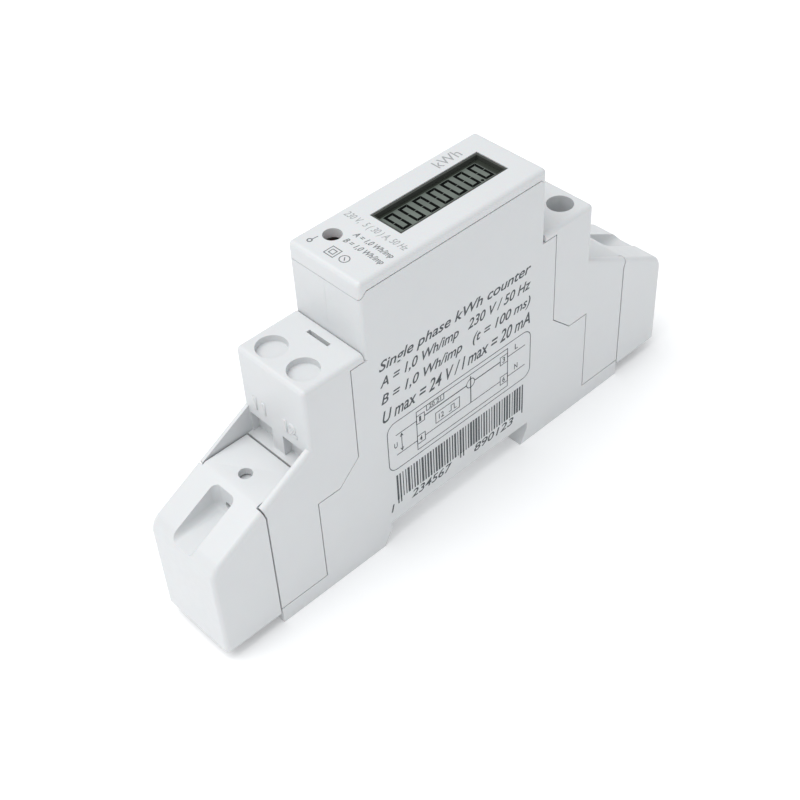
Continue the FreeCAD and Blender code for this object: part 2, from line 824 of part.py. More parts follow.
def make_display():
    border = glass_border
    x0, x1 = window_start - border, window_end + border
    half = window_half + border
    save("display_glass", box(x0, x1, -half, half, glass_bottom, glass_top))
    inner = half - strip_width - inner_gap
    save("display_reflector", box(x0, x1, -inner, inner, glass_bottom - reflector_thickness,
                                  glass_bottom))
    strips = []
    for side in (-1, 1):
        lean = sorted((side * half, side * (half - strip_width)))
        strips.append(box(x0 + strip_inset, x1 - strip_inset, lean[0], lean[1],
                          display_board_top, glass_bottom))
    save("contact_strips", *strips)

    gap = solder_gap
    outer = frame_wall + gap
    frame = box(x0 - outer, x1 + outer, -half - outer, half + outer, display_board_top, glass_top)
    frame = frame.cut(box(x0 - gap, x1 + gap, -half - gap, half + gap, display_board_top - over,
                          glass_top + over))
    lip = box(window_start + gap, window_end - gap, -window_half + gap, window_half - gap,
              glass_top, overall_height - frame_lip_drop)
    lip = lip.cut(box(window_start + gap + frame_lip, window_end - gap - frame_lip,
                      -window_half + gap + frame_lip, window_half - gap - frame_lip,
                      glass_top - over, overall_height))
    save("display_frame", frame, lip)


def make_boards():
    display_board = box(-board_end, board_end, -board_side, board_side, display_board_bottom,
                        display_board_top)
    pins = []
    y = board_face + solder_gap
    pin_start = -(pin_count - 1) / 2 * pin_pitch
    for index in range(pin_count):
        x = pin_start + index * pin_pitch
        pins.append(box(x, x + pin_size, y, y + pin_size, board_top - part_margin,
                        display_board_top + solder_gap))
        hole = box(x - solder_gap, x + pin_size + solder_gap, y - solder_gap,
                   y + pin_size + solder_gap, display_board_bottom - over, display_board_top + over)
        display_board = display_board.cut(hole)
    save("display_board", display_board)
    save("header_pins", *pins)
    save("main_board", box(-board_end, board_end, -board_face, board_face, board_bottom, board_top))


def make_lamp():
    radius = lamp_diameter / 2
    top = overall_height - lamp_drop
    base = display_board_top
    body = cylinder_z(radius, lamp_x, lamp_side, base, top - radius)
    dome = Part.makeSphere(radius, Vector(lamp_x, lamp_side, top - radius))
    flange = cylinder_z(radius + lamp_flange, lamp_x, lamp_side, base, base + lamp_flange_height)
    save("pulse_lamp", body.fuse([dome, flange]).removeSplitter())


# ---------------------------------------------------------------- parts on the main board
def lead_row(start, end, count):
    """Start and end of each lead in a row of evenly spaced ones."""
    pitch = (end - start) / count
    half = pitch * lead_share / 2
    middles = [start + (index + 0.5) * pitch for index in range(count)]
    return [(middle - half, middle + half) for middle in middles]


def chip_body(x0, z0, length, height, thickness, side, lead_count, four_sided=False):
    """Moulded chip with flat leads, on the board face of the given side (-1 printed, 1 other)."""
    face = board_face + solder_gap
    lean = sorted((side * (face + chip_lift), side * (face + thickness)))
    foot = sorted((side * face, side * (face + lead_thickness)))
    chip = box(x0, x0 + length, lean[0], lean[1], z0, z0 + height)
    for start, end in lead_row(x0, x0 + length, lead_count):
        chip = chip.fuse(box(start, end, foot[0], foot[1], z0 - lead_reach, z0 + height + lead_reach))
    if four_sided:
        for start, end in lead_row(z0, z0 + height, lead_count):
            chip = chip.fuse(box(x0 - lead_reach, x0 + length + lead_reach, foot[0], foot[1],
                                 start, end))
    return chip.removeSplitter()


def make_power_parts():
    """Large parts along the lower edge of the board, on the printed side."""
    left = -board_end + part_margin
    low = board_bottom + part_margin + low_part_rise
    face = board_face + solder_gap
    radius = (part_depth - solder_gap - inner_gap) / 2
    save("electrolytic_capacitor", cylinder_x(radius, -face - radius, low + radius, left,
                                              left + capacitor_length))
    start = left + capacitor_length + part_gap
    save("film_capacitor", box(start, start + film_length, -face - film_depth, -face, low,
                               low + film_height))
    height = low + film_height + part_gap + varistor_diameter / 2
    save("varistor", cylinder_y(varistor_diameter / 2, 0, height, -face - varistor_thickness, -face))


def make_chips():
    """Metering chip and optocoupler on the printed side, the rest on the other."""
    left = -board_end + part_margin
    right = board_end - part_margin
    low = board_bottom + part_margin
    high = board_top - part_margin
    face = board_face + solder_gap
    save("metering_chip", chip_body(left, high - chip_drop, metering_length, metering_width,
                                    metering_thickness, -1, 8))
    save("optocoupler", chip_body(right - coupler_width - lead_reach, high - chip_drop, coupler_width,
                                  coupler_length, coupler_thickness, -1, 2))
    save("microcontroller", chip_body(-processor_size / 2, low + low_part_rise, processor_size,
                                      processor_size, processor_thickness, 1, 10, True))
    save("clock_crystal", box(left, left + crystal_length, face, face + crystal_height,
                              low + crystal_rise, low + crystal_rise + crystal_width))
    resistors = []
    for row in range(resistor_rows):
        z = high - resistor_drop - row * resistor_row_pitch
        for column in range(resistor_columns):
            x = (column - (resistor_columns - 1) / 2) * resistor_pitch - chip_length / 2
            resistors.append(box(x, x + chip_length, face, face + chip_height, z, z + chip_width))
    save("chip_resistors", *resistors)


make_case()
make_blocks()
make_covers()
make_clip()
make_spring()
make_main_clamps()
make_pulse_clamps()
make_bars()
make_bezel()
make_display()
make_boards()
make_lamp()
make_power_parts()
make_chips()
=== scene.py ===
import json
import math

import bmesh
import bpy
from mathutils import Matrix, Vector

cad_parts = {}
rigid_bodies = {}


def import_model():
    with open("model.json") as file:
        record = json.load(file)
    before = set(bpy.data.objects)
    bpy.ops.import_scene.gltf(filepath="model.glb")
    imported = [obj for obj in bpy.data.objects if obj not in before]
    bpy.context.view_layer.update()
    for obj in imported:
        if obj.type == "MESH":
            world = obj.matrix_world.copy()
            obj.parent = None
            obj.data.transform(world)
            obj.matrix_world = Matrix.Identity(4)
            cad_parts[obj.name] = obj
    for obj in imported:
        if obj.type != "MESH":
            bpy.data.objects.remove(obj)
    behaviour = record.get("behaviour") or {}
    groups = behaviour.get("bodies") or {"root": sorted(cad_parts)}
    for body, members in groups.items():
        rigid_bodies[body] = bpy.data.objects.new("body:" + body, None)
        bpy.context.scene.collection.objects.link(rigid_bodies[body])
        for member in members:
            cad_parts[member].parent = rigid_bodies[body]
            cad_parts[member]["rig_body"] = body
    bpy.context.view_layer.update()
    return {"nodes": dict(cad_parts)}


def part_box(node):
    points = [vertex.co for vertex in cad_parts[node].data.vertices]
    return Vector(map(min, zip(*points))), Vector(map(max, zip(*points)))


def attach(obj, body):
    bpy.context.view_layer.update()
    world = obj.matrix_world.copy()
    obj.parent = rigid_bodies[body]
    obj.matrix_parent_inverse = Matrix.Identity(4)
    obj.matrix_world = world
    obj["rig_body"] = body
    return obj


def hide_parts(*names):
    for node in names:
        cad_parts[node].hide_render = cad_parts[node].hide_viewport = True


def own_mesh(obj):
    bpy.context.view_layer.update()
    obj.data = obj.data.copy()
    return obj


# Narrow rail-mounted electricity meter: finishes, print, display, screws and small parts, built on
# the CAD frame. Lengths are in metres. +X runs to the pulse-output end, the printed side faces -Y,
# and +Z points from the mounting rail to the front.

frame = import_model()
nodes = frame["nodes"]
scene = bpy.context.scene
MM = 0.001

# ---------------------------------------------------------------- sizes
MERGE = 0.002 * MM            # vertices closer than this are one
EDGE_SOFT = 0.12 * MM         # moulded corners look this round, through their shading
SHARP = math.radians(32)      # edges that turn more than this are corners
FLAT = math.radians(0.5)      # faces that turn less than this are one
INK = 0.015 * MM              # print stands this far off the surface
INK_ROOT = 0.03 * MM          # and reaches this far into it
FIGURE_WELT = 0.055           # half-width of a raised figure's line, as a share of its size

CLAMPS = ("line_in", "line_out", "neutral_in", "neutral_out", "pulse_plus", "pulse_minus")
MAIN_SCREW = {"pitch": 0.7 * MM, "slot": 1.1 * MM, "head": 2.2 * MM, "radius": 2.0 * MM}
PULSE_SCREW = {"pitch": 0.5 * MM, "slot": 0.9 * MM, "head": 2.0 * MM, "radius": 1.5 * MM}
SLOT_WIDTH_SHARE = 0.4        # driving slot's width, as a share of the head's radius
THREAD_DEPTH_SHARE = 0.55     # thread depth, as a share of the pitch
SCREW_SEGMENTS = 48
SHANK_OVERLAP = 0.05 * MM     # shank reaches this far into the head

FIGURE_HEIGHT = 2.9 * MM
FIGURE_WIDTH = 3.3 * MM       # a pair of figures
FIGURE_PLACE = 4.1 * MM       # middle of each pair, from the block's middle
FIGURE_FOOT = 37.4 * MM       # above the rail side
FIGURE_RELIEF = 0.25 * MM
RISER_FROM_CAGE = 1.5 * MM    # from a pulse cage's outer side to the riser

GLASS_BORDER = 2.0 * MM       # glass under the window's edges
DIGIT_WIDTH = 2.2 * MM
DIGIT_HEIGHT = 4.95 * MM
DIGIT_STROKE = 0.56 * MM
DIGIT_GAP = 0.02 * MM
DIGIT_WAIST = 0.06 * MM
DIGIT_PITCH = 3.34 * MM
DIGIT_COUNT = 7
DIGIT_MARGIN = 1.87 * MM      # from the window's left end to the first digit
DIGIT_LOW = -2.3 * MM
POINT_RADIUS = 0.6 * DIGIT_STROKE
SHADE_FAR = 0.98 * MM         # width of the painted shadow that the window's walls cast on the display, along the far side
# widths of the same painted shadow along the right, left and near sides
SHADE_RIGHT = 1.6 * MM
SHADE_LEFT = 0.8 * MM
SHADE_NEAR = 0.22 * MM

SPRING_TURNS = 7.0
SPRING_WIRE = 0.3 * MM

# ---------------------------------------------------------------- places from the frame
glass_low, glass_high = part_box("display_glass")
printed_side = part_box("near_case_half")[0].y
front_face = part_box("front_bezel")[1].z
window_start = glass_low.x + GLASS_BORDER
window_end = glass_high.x - GLASS_BORDER
window_half = glass_high.y - GLASS_BORDER


# ---------------------------------------------------------------- node trees for materials
class Finish:
    """A principled material with named helper nodes, all on object coordinates."""

    def __init__(self, name):
        self.material = bpy.data.materials.new(name)
        self.material.use_nodes = True
        self.tree = self.material.node_tree
        self.shader = self.tree.nodes["Principled BSDF"]
        self.place = self.tree.nodes.new("ShaderNodeTexCoord").outputs["Object"]

    def add(self, kind, **values):
        node = self.tree.nodes.new(kind)
        for key, value in values.items():
            setattr(node, key, value)
        return node

    def link(self, source, target):
        self.tree.links.new(source, target)

    def stretched(self, scale):
        mapping = self.add("ShaderNodeMapping")
        mapping.inputs["Scale"].default_value = scale
        self.link(self.place, mapping.inputs["Vector"])
        return mapping.outputs["Vector"]

    def noise(self, grain, detail=3.0, rough=0.55, stretch=None):
        """Noise whose features are about grain metres across."""
        node = self.add("ShaderNodeTexNoise")
        node.inputs["Scale"].default_value = 1 / grain
        node.inputs["Detail"].default_value = detail
        node.inputs["Roughness"].default_value = rough
        vector = self.stretched(stretch) if stretch else self.place
        self.link(vector, node.inputs["Vector"])
        return node.outputs["Fac"]

    def blend(self, factor, first, second):
        """Colour between two values or sockets."""
        mix = self.add("ShaderNodeMix", data_type="RGBA")
        for socket, value in ((6, first), (7, second)):
            if hasattr(value, "node"):
                self.link(value, mix.inputs[socket])
            else:
                mix.inputs[socket].default_value = (*value, 1)
        self.link(factor, mix.inputs[0])
        return mix.outputs[2]

    def span(self, factor, low, high, start=0.3, end=0.7):
        ramp = self.add("ShaderNodeMapRange")
        for name, value in (("From Min", start), ("From Max", end), ("To Min", low), ("To Max", high)):
            ramp.inputs[name].default_value = value
        self.link(factor, ramp.inputs["Value"])
        return ramp.outputs["Result"]

    def math(self, operation, first, second):
        node = self.add("ShaderNodeMath", operation=operation)
        for index, value in enumerate((first, second)):
            if hasattr(value, "node"):
                self.link(value, node.inputs[index])
            else:
                node.inputs[index].default_value = value
        return node.outputs[0]

    def colour(self, base, spread, grain, stretch=None):
        """Base colour that drifts a little lighter and darker."""
        dark = tuple(channel * (1 - spread) for channel in base)
        light = tuple(min(1, channel * (1 + spread)) for channel in base)
        drift = self.span(self.noise(grain, stretch=stretch), 0, 1)
        result = self.blend(drift, dark, light)
        self.link(result, self.shader.inputs["Base Color"])
        return result

    def roughness(self, low, high, grain, stretch=None):
        noise = self.noise(grain, stretch=stretch)
        self.link(self.span(noise, low, high), self.shader.inputs["Roughness"])

    def bump(self, *layers, rounding=0.0):
        """Layers of (height socket, depth in metres), laid over each other and over soft edges."""
        normal = None
        if rounding:
            soft = self.add("ShaderNodeBevel", samples=6)
            soft.inputs["Radius"].default_value = rounding
            normal = soft.outputs["Normal"]
        for height, depth in layers:
            node = self.add("ShaderNodeBump")
            node.inputs["Strength"].default_value = 1.0
            node.inputs["Distance"].default_value = depth
            self.link(height, node.inputs["Height"])
            if normal:
                self.link(normal, node.inputs["Normal"])
            normal = node.outputs["Normal"]
        self.link(normal, self.shader.inputs["Normal"])

    def set(self, **values):
        for name, value in values.items():
            self.shader.inputs[name.replace("_", " ")].default_value = value
        return self.material


# ---------------------------------------------------------------- finishes
def moulded_plastic(name, base, rough_low=0.34, rough_high=0.46):
    """Satin moulded plastic: fine spark-eroded grain, slight sink marks, faint tone drift."""
    finish = Finish(name)
    finish.colour(base, 0.012, 14 * MM)
    finish.roughness(rough_low, rough_high, 1.6 * MM)
    finish.bump((finish.noise(0.16 * MM, 2.0), 0.0022 * MM), (finish.noise(9 * MM, 1.0), 0.02 * MM),
                rounding=EDGE_SOFT)
    return finish.set(IOR=1.5, Subsurface_Weight=0.06, Subsurface_Scale=0.6 * MM)


def dull_plastic(name, base, grain=0.2 * MM):
    finish = Finish(name)
    finish.colour(base, 0.12, 3 * MM)
    finish.roughness(0.5, 0.68, 0.8 * MM)
    finish.bump((finish.noise(grain, 3.0), 0.004 * MM))
    return finish.set(IOR=1.48)


def liquid_crystal(name, base):
    """Switched segment of the display: dead black, with hardly any shine of its own."""
    finish = Finish(name)
    finish.colour(base, 0.2, 0.5 * MM)
    finish.roughness(0.6, 0.75, 0.3 * MM)
    finish.bump((finish.noise(0.08 * MM, 2.0), 0.001 * MM))
    return finish.set(Specular_IOR_Level=0.06)


def glossy_coat(name, base, dimple=0.5 * MM):
    """Dipped or shrunk coating with a soft orange-peel surface."""
    finish = Finish(name)
    finish.colour(base, 0.14, 2.2 * MM)
    finish.roughness(0.16, 0.3, 1.2 * MM)
    finish.bump((finish.noise(dimple, 2.0), 0.012 * MM))
    return finish.set(Coat_Weight=0.35, Coat_Roughness=0.12)


def metal(name, base, rough_low, rough_high, stretch, depth=0.002 * MM, spread=0.08):
    """Metal with drawing or turning marks that run the way it was made."""
    finish = Finish(name)
    finish.colour(base, spread, 1.1 * MM, stretch)
    finish.roughness(rough_low, rough_high, 0.7 * MM, stretch)
    finish.bump((finish.noise(0.12 * MM, 3.0, stretch=stretch), depth))
    return finish.set(Metallic=1.0)


def printed_ink(name, base):
    """Pad-printed ink: slightly uneven cover, a little glossier than the plastic."""
    finish = Finish(name)
    finish.colour(base, 0.16, 0.35 * MM)
    finish.roughness(0.4, 0.55, 0.3 * MM)
    finish.bump((finish.noise(0.08 * MM, 2.0), 0.001 * MM))
    return finish.set(IOR=1.5)


def edge_shade(finish, axis, edge, width):
    """0 in the open part of the display and 1 in the shade along one edge of the window."""
    position = finish.add("ShaderNodeSeparateXYZ")
    finish.link(finish.place, position.inputs["Vector"])
    return finish.span(position.outputs[axis], 1, 0, edge, edge + width)


def display_face(name):
    """Grey-green display with a painted shadow of the window's walls along the edges inside the window.
    """
    finish = Finish(name)
    lit = finish.blend(finish.span(finish.noise(4 * MM), 0, 1), (0.105, 0.126, 0.109),
                       (0.138, 0.163, 0.142))
    soft = 0.1 * MM
    shades = (
        edge_shade(finish, "Y", window_half - SHADE_FAR, -soft),
        edge_shade(finish, "X", window_end - SHADE_RIGHT, -soft),
        edge_shade(finish, "X", window_start + SHADE_LEFT, soft),
        edge_shade(finish, "Y", -window_half + SHADE_NEAR, soft / 2),
    )
    shade = shades[0]
    for other in shades[1:]:
        shade = finish.math("MAXIMUM", shade, other)
    # painted shadow: the grey-green turns olive-black under the window's walls
    finish.link(finish.blend(shade, lit, (0.034, 0.040, 0.032)), finish.shader.inputs["Base Color"])
    finish.roughness(0.2, 0.27, 2 * MM)
    finish.bump((finish.noise(0.1 * MM, 1.0), 0.0006 * MM))
    return finish.set(IOR=1.49)


def clear_glass_edge(name):
    finish = Finish(name)
    finish.colour((0.30, 0.36, 0.33), 0.08, 1.5 * MM)
    finish.roughness(0.05, 0.14, 0.6 * MM)
    finish.bump((finish.noise(0.3 * MM, 1.0), 0.001 * MM))
    return finish.set(IOR=1.52, Transmission_Weight=0.35)


def board_mask(name):
    """Green solder mask over copper tracks that show as a faint relief."""
    finish = Finish(name)
    tracks = finish.add("ShaderNodeTexBrick")
    tracks.inputs["Scale"].default_value = 1 / (6 * MM)
    tracks.inputs["Mortar Size"].default_value = 0.03
    finish.link(finish.stretched((1, 1, 1.7)), tracks.inputs["Vector"])
    copper = finish.math("SUBTRACT", 1.0, tracks.outputs["Fac"])
    base = finish.blend(finish.noise(5 * MM), (0.012, 0.105, 0.040), (0.020, 0.150, 0.058))
    finish.link(finish.blend(copper, (0.022, 0.19, 0.075), base), finish.shader.inputs["Base Color"])
    finish.roughness(0.24, 0.36, 1.5 * MM)
    finish.bump((finish.noise(0.15 * MM, 2.0), 0.002 * MM), (tracks.outputs["Fac"], 0.02 * MM))
    return finish.set(Coat_Weight=0.3)


def lamp_epoxy(name):
    finish = Finish(name)
    finish.colour((0.22, 0.012, 0.010), 0.15, 1.2 * MM)
    finish.roughness(0.06, 0.14, 0.8 * MM)
    finish.bump((finish.noise(0.5 * MM, 1.0), 0.002 * MM))
    return finish.set(IOR=1.53, Transmission_Weight=0.45, Coat_Weight=0.5)


def floor_paper(name):
    finish = Finish(name)
    finish.colour((0.955, 0.958, 0.962), 0.005, 60 * MM)
    finish.roughness(0.75, 0.85, 12 * MM)
    finish.bump((finish.noise(0.6 * MM, 3.0), 0.01 * MM))
    return finish.set(Specular_IOR_Level=0.2, Emission_Color=(1, 1, 1, 1), Emission_Strength=0.14)


WHITE = (0.655, 0.668, 0.677)
finishes = {
    "case_white": moulded_plastic("case_white", WHITE),
    "bezel_white": moulded_plastic("bezel_white", (0.662, 0.675, 0.684), 0.3, 0.42),
    "cover_white": moulded_plastic("cover_white", (0.658, 0.671, 0.680), 0.32, 0.44),
    "clip_grey": moulded_plastic("clip_grey", (0.56, 0.57, 0.58), 0.36, 0.5),
    "frame_black": dull_plastic("frame_black", (0.045, 0.050, 0.043)),
    "display_face": display_face("display_face"),
    "glass_edge": clear_glass_edge("glass_edge"),
    "digit_black": liquid_crystal("digit_black", (0.0015, 0.002, 0.0018)),
    "side_ink": printed_ink("side_ink", (0.045, 0.053, 0.061)),
    "front_ink": printed_ink("front_ink", (0.16, 0.165, 0.17)),
    "pale_ink": printed_ink("pale_ink", (0.33, 0.34, 0.345)),
    "reflector_film": glossy_coat("reflector_film", (0.62, 0.63, 0.60), 1.5 * MM),
    "strip_rubber": dull_plastic("strip_rubber", (0.03, 0.03, 0.033), 0.3 * MM),
    "board_mask": board_mask("board_mask"),
    "chip_epoxy": dull_plastic("chip_epoxy", (0.02, 0.02, 0.022), 0.12 * MM),
    "sleeve_black": glossy_coat("sleeve_black", (0.02, 0.024, 0.05)),
    "film_yellow": glossy_coat("film_yellow", (0.62, 0.36, 0.04)),
    "varistor_blue": glossy_coat("varistor_blue", (0.03, 0.08, 0.36)),
    "tinned": metal("tinned", (0.72, 0.72, 0.70), 0.26, 0.42, (1, 1, 1)),
    "copper": metal("copper", (0.80, 0.42, 0.25), 0.24, 0.4, (0.12, 1, 1)),
    "nickel_brass": metal("nickel_brass", (0.70, 0.66, 0.56), 0.22, 0.36, (0.15, 1, 1)),
    "zinc_steel": metal("zinc_steel", (0.60, 0.615, 0.63), 0.2, 0.36, (1, 1, 0.2), spread=0.12),
    "spring_steel": metal("spring_steel", (0.42, 0.43, 0.45), 0.18, 0.3, (1, 1, 1)),
    "lamp_epoxy": lamp_epoxy("lamp_epoxy"),
}
floor_finish = floor_paper("floor_paper")


# ---------------------------------------------------------------- mesh helpers
def smoothed(shape):
    """Smooth shading, broken only at real corners."""
    for face in shape.faces:
        face.smooth = True
    for edge in shape.edges:
        if len(edge.link_faces) == 2:
            edge.smooth = edge.calc_face_angle(0) < SHARP


def as_mesh(shape, name, outward=True):
    """Plain mesh from a bmesh, doubles merged and faces turned outwards."""
    bmesh.ops.remove_doubles(shape, verts=shape.verts, dist=MERGE)
    if outward:
        bmesh.ops.recalc_face_normals(shape, faces=shape.faces)
    smoothed(shape)
    mesh = bpy.data.meshes.new(name)
    shape.to_mesh(mesh)
    shape.free()
    return mesh


def linked(name, mesh):
    piece = bpy.data.objects.new(name, mesh)
    scene.collection.objects.link(piece)
    return piece


def settled(piece):
    """The plain mesh that an object's modifiers make. The object goes."""
    bpy.context.view_layer.update()
    depsgraph = bpy.context.evaluated_depsgraph_get()
    mesh = bpy.data.meshes.new_from_object(piece.evaluated_get(depsgraph))
    name = piece.name
    bpy.data.objects.remove(piece)
    mesh.name = name
    return mesh


def bevelled(name, mesh, width, segments=2):
    """A mesh with its sharp edges rounded."""
    piece = linked(name, mesh)
    rounding = piece.modifiers.new("rounding", "BEVEL")
    rounding.width = width
    rounding.segments = segments
    rounding.limit_method = "ANGLE"
    rounding.angle_limit = SHARP
    rounding.use_clamp_overlap = False
    rounding.miter_outer = "MITER_SHARP"
    shading = piece.modifiers.new("shading", "WEIGHTED_NORMAL")
    shading.keep_sharp = True
    return settled(piece)


def install(name, mesh, finish, body, slot, *replaced):
    """Put a finished piece on its body, in place of the CAD nodes that it stands for."""
    mesh.materials.clear()
    mesh.materials.append(finishes[finish])
    piece = linked(name, mesh)
    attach(piece, body)
    if replaced:
        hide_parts(*replaced)
    return piece


def copy_of(node):
    """Mesh of a CAD node, with its vertices merged and its flat faces whole."""
    shape = bmesh.new()
    shape.from_mesh(nodes[node].data)
    bmesh.ops.remove_doubles(shape, verts=shape.verts, dist=MERGE)
    bmesh.ops.dissolve_limit(shape, angle_limit=FLAT, verts=shape.verts, edges=shape.edges)
    return as_mesh(shape, node + "_shape", outward=False)


def shaded(name, mesh):
    """The same mesh, with large faces deciding how its smooth edges shade."""
    piece = linked(name, mesh)
    shading = piece.modifiers.new("shading", "WEIGHTED_NORMAL")
    shading.keep_sharp = True
    return settled(piece)


def soften(node, name, finish, slot, width, segments=3):
    """A piece in the CAD node's shape, with rounded edges."""
    mesh = bevelled(name, copy_of(node), width, segments)
    return install(name, mesh, finish, nodes[node]["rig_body"], slot, node)


def lathe(profile, segments=SCREW_SEGMENTS):
    """Closed solid of revolution about Z from (radius, height) points, bottom to top."""
    shape = bmesh.new()
    rings = []
    for radius, height in profile:
        if radius < MERGE:
            rings.append([shape.verts.new((0, 0, height))])
            continue
        ring = []
        for index in range(segments):
            angle = 2 * math.pi * index / segments
            ring.append(shape.verts.new((radius * math.cos(angle), radius * math.sin(angle), height)))
        rings.append(ring)
    for lower, upper in zip(rings, rings[1:]):
        for index in range(segments):
            after = (index + 1) % segments
            corners = [lower[index % len(lower)], lower[after % len(lower)],
                       upper[after % len(upper)], upper[index % len(upper)]]
            unique = list(dict.fromkeys(corners))
            if len(unique) > 2:
                shape.faces.new(unique)
    return shape


# ---------------------------------------------------------------- geometry node trees
def new_tree(name, *inputs):
    tree = bpy.data.node_groups.new(name, "GeometryNodeTree")
    face = tree.interface
    face.new_socket("Geometry", in_out="INPUT", socket_type="NodeSocketGeometry")
    for label, kind in inputs:
        face.new_socket(label, in_out="INPUT", socket_type="NodeSocket" + kind)
    face.new_socket("Geometry", in_out="OUTPUT", socket_type="NodeSocketGeometry")
    tree.nodes.new("NodeGroupInput")
    tree.nodes.new("NodeGroupOutput")
    return tree


def finish_tree(tree, geometry):
    """Realize what was placed, give it the chosen material and send it out."""
    realize = tree.nodes.new("GeometryNodeRealizeInstances")
    material = tree.nodes.new("GeometryNodeSetMaterial")
    tree.links.new(geometry, realize.inputs["Geometry"])
    tree.links.new(realize.outputs["Geometry"], material.inputs["Geometry"])
    tree.links.new(tree.nodes["Group Input"].outputs["Finish"], material.inputs["Material"])
    tree.links.new(material.outputs["Geometry"], tree.nodes["Group Output"].inputs["Geometry"])


def row_tree():
    """Copies of a small shape in an even row along X."""
    tree = new_tree("even_row", ("Count", "Int"), ("Pitch", "Float"), ("Finish", "Material"))
    given = tree.nodes["Group Input"].outputs
    step = tree.nodes.new("ShaderNodeCombineXYZ")
    line = tree.nodes.new("GeometryNodeMeshLine")
    placed = tree.nodes.new("GeometryNodeInstanceOnPoints")
    tree.links.new(given["Pitch"], step.inputs["X"])
    tree.links.new(given["Count"], line.inputs["Count"])
    tree.links.new(step.outputs["Vector"], line.inputs["Offset"])
    tree.links.new(line.outputs["Mesh"], placed.inputs["Points"])
    tree.links.new(given["Geometry"], placed.inputs["Instance"])
    finish_tree(tree, placed.outputs["Instances"])
    return tree


def coil_tree():
    """Round wire wound into a coil that rises along Z."""
    tree = new_tree("wound_coil", ("Turns", "Float"), ("Coil Radius", "Float"), ("Rise", "Float"),
                    ("Wire Radius", "Float"), ("Finish", "Material"))
    given = tree.nodes["Group Input"].outputs
    spiral = tree.nodes.new("GeometryNodeCurveSpiral")
    spiral.inputs["Resolution"].default_value = 28
    section = tree.nodes.new("GeometryNodeCurvePrimitiveCircle")
    section.inputs["Resolution"].default_value = 14
    sweep = tree.nodes.new("GeometryNodeCurveToMesh")
    sweep.inputs["Fill Caps"].default_value = True
    smooth = tree.nodes.new("GeometryNodeSetShadeSmooth")
    tree.links.new(given["Turns"], spiral.inputs["Rotations"])
    tree.links.new(given["Coil Radius"], spiral.inputs["Start Radius"])
    tree.links.new(given["Coil Radius"], spiral.inputs["End Radius"])
    tree.links.new(given["Rise"], spiral.inputs["Height"])
    tree.links.new(given["Wire Radius"], section.inputs["Radius"])
    tree.links.new(spiral.outputs["Curve"], sweep.inputs["Curve"])
    tree.links.new(section.outputs["Curve"], sweep.inputs["Profile Curve"])
    tree.links.new(sweep.outputs["Mesh"], smooth.inputs["Geometry"])
    finish_tree(tree, smooth.outputs["Geometry"])
    return tree


def bar_tree():
    """Row of upright printed bars, each between two widths, in a fixed irregular order."""
    tree = new_tree("bar_row", ("Count", "Int"), ("Pitch", "Float"), ("Narrow", "Float"),
                    ("Wide", "Float"), ("Height", "Float"), ("Seed", "Int"), ("Finish", "Material"))
    given = tree.nodes["Group Input"].outputs
    step = tree.nodes.new("ShaderNodeCombineXYZ")
    line = tree.nodes.new("GeometryNodeMeshLine")
    chance = tree.nodes.new("FunctionNodeRandomValue")
    width = tree.nodes.new("ShaderNodeCombineXYZ")
    bar = tree.nodes.new("GeometryNodeMeshCube")
    placed = tree.nodes.new("GeometryNodeInstanceOnPoints")
    bar.inputs["Size"].default_value = (1, 1, INK + INK_ROOT)
    width.inputs["Z"].default_value = 1
    tree.links.new(given["Pitch"], step.inputs["X"])
    tree.links.new(given["Count"], line.inputs["Count"])
    tree.links.new(step.outputs["Vector"], line.inputs["Offset"])
    tree.links.new(given["Narrow"], chance.inputs[2])
    tree.links.new(given["Wide"], chance.inputs[3])
    tree.links.new(given["Seed"], chance.inputs["Seed"])
    tree.links.new(chance.outputs[1], width.inputs["X"])
    tree.links.new(given["Height"], width.inputs["Y"])
    tree.links.new(line.outputs["Mesh"], placed.inputs["Points"])
    tree.links.new(bar.outputs["Mesh"], placed.inputs["Instance"])
    tree.links.new(width.outputs["Vector"], placed.inputs["Scale"])
    finish_tree(tree, placed.outputs["Instances"])
    return tree


def grown(name, mesh, tree, values):
    """The plain mesh that a geometry node tree makes from a starting mesh."""
    piece = linked(name, mesh)
    modifier = piece.modifiers.new("growth", "NODES")
    modifier.node_group = tree
    for item in tree.interface.items_tree:
        if item.in_out == "INPUT" and item.name in values:
            modifier[item.identifier] = values[item.name]
    return settled(piece)


even_row = row_tree()
wound_coil = coil_tree()
bar_row = bar_tree()


# ---------------------------------------------------------------- flat print on a face
def face_frame(origin, across, up):
    """Matrix that lays a flat drawing on a face: its X runs across, its Y up, its Z outwards."""
    across, up = Vector(across), Vector(up)
    turn = Matrix((across, up, across.cross(up))).transposed().to_4x4()
    return Matrix.Translation(origin) @ turn


def side_frame(x, z):
    return face_frame((x, printed_side, z), (1, 0, 0), (0, 0, 1))


def front_frame(x, y, across=(1, 0, 0), up=(0, 1, 0)):
    return face_frame((x, y, front_face), across, up)


def lettering(text, width, height, slant=0.0, weight=0.0):
    """Raised flat letters in a box of the given width and height, lower left corner at zero."""
    font = bpy.data.curves.new("letters", "FONT")
    font.body = text
    font.shear = slant
    font.offset = weight
    font.extrude = 0.5
    font.resolution_u = 4
    mesh = settled(linked("letters", font))
    points = [vertex.co for vertex in mesh.vertices]
    low = Vector((min(p.x for p in points), min(p.y for p in points), -0.5))
    high = Vector((max(p.x for p in points), max(p.y for p in points), 0.5))
    size = high - low
    fit = Matrix.Diagonal((width / size.x, height / size.y, INK + INK_ROOT, 1))
    shift = Matrix.Translation((0, 0, -INK_ROOT))
    mesh.transform(shift @ fit @ Matrix.Translation(-low))
    return mesh


